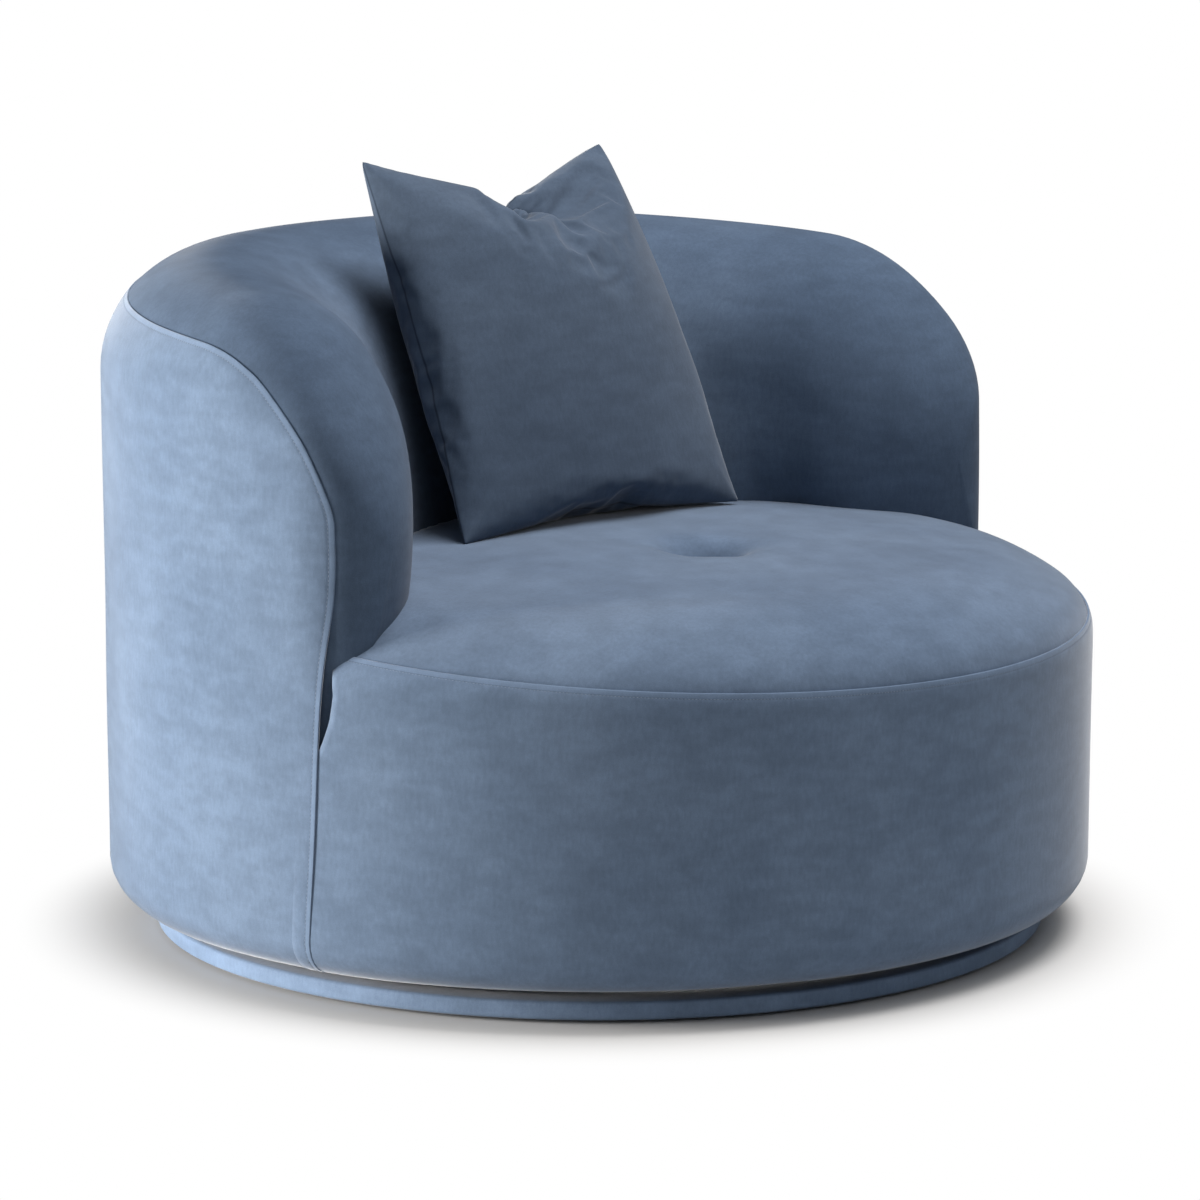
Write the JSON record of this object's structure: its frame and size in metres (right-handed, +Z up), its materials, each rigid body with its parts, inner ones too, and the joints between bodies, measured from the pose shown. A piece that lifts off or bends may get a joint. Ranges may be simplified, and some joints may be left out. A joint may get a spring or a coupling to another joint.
{
  "type": "swivel accent chair",
  "caption": "Round upholstered barrel chair in blue velvet that turns on a low wrapped plinth, with a tufted seat and a loose square pillow.",
  "frame": {"origin": "on the floor at the swivel axis", "axes": "+Z up, -Y the way the chair faces, +X to the right hand of a person facing its front"},
  "size_m": [1.096, 1.096, 0.8531],
  "materials": {
    "velvet": "dusty blue velvet",
    "pillow_velvet": "dusty blue velvet",
    "padding": "foam and wadding",
    "cambric": "black cambric",
    "webbing": "woven elastic webbing",
    "plywood": "raw plywood",
    "hardwood": "raw hardwood",
    "plate_steel": "black painted",
    "fixing_steel": "zinc plated",
    "bush_plastic": "black nylon",
    "twine": "waxed"
  },
  "bodies": {
    "plinth": {"plinth_board": "plywood", "plinth_pad": "padding", "plinth_cover": "velvet", "floor_glides": "bush_plastic", "swivel_lower_plate": "plate_steel", "lower_plate_screws": "fixing_steel", "pivot_bush": "bush_plastic"},
    "ball_cage": {"ball_retainer": "bush_plastic", "bearing_balls": "fixing_steel"},
    "chair": {"swivel_upper_plate": "plate_steel", "upper_plate_bolts": "fixing_steel", "tee_nuts": "fixing_steel", "pivot_bolt": "fixing_steel", "pivot_nut": "fixing_steel", "base_board": "plywood", "dust_cover": "cambric", "front_rail": "plywood", "web_rail_front": "hardwood", "web_rail_rear": "hardwood", "web_rail_left": "hardwood", "web_rail_right": "hardwood", "web_rail_posts": "hardwood", "seat_strap_long_1": "webbing", "seat_strap_long_2": "webbing", "seat_strap_long_3": "webbing", "seat_strap_long_4": "webbing", "seat_strap_cross_1": "webbing", "seat_strap_cross_2": "webbing", "seat_strap_cross_3": "webbing", "deck_cloth": "cambric", "seat_foam": "padding", "band_pad": "padding", "tuft_twine": "twine", "tuft_washer": "bush_plastic", "seat_top_cover": "velvet", "seat_band_cover": "velvet", "back_rib_1": "plywood", "back_rib_2": "plywood", "back_rib_3": "plywood", "back_rib_4": "plywood", "back_rib_5": "plywood", "back_rib_6": "plywood", "back_rib_7": "plywood", "arm_panel_left": "plywood", "arm_panel_right": "plywood", "back_top_rail": "plywood", "back_shelf": "plywood", "outside_board": "hardwood", "outside_pad": "padding", "back_foam": "padding", "inside_back_cover": "velvet", "outside_back_cover": "velvet"},
    "pillow": {"pillow_front_panel": "pillow_velvet", "pillow_back_panel": "pillow_velvet", "pillow_insert": "padding"}
  },
  "joints": [
    {"name": "swivel", "type": "hinge", "parent": "plinth", "child": "chair", "pos_m": [0, 0, 0.031], "axis": [0, 0, 1], "continuous": true},
    {"name": "cage_roll", "type": "hinge", "parent": "plinth", "child": "ball_cage", "pos_m": [0, 0, 0.031], "axis": [0, 0, 1], "continuous": true},
    {"name": "pillow_lift", "type": "slide", "parent": "chair", "child": "pillow", "axis": [0, -0.5, 0.866], "range_m": [0, 0.4]}
  ],
  "couplings": [
    {"joint": "cage_roll", "follows": "swivel", "ratio": 0.5}
  ]
}
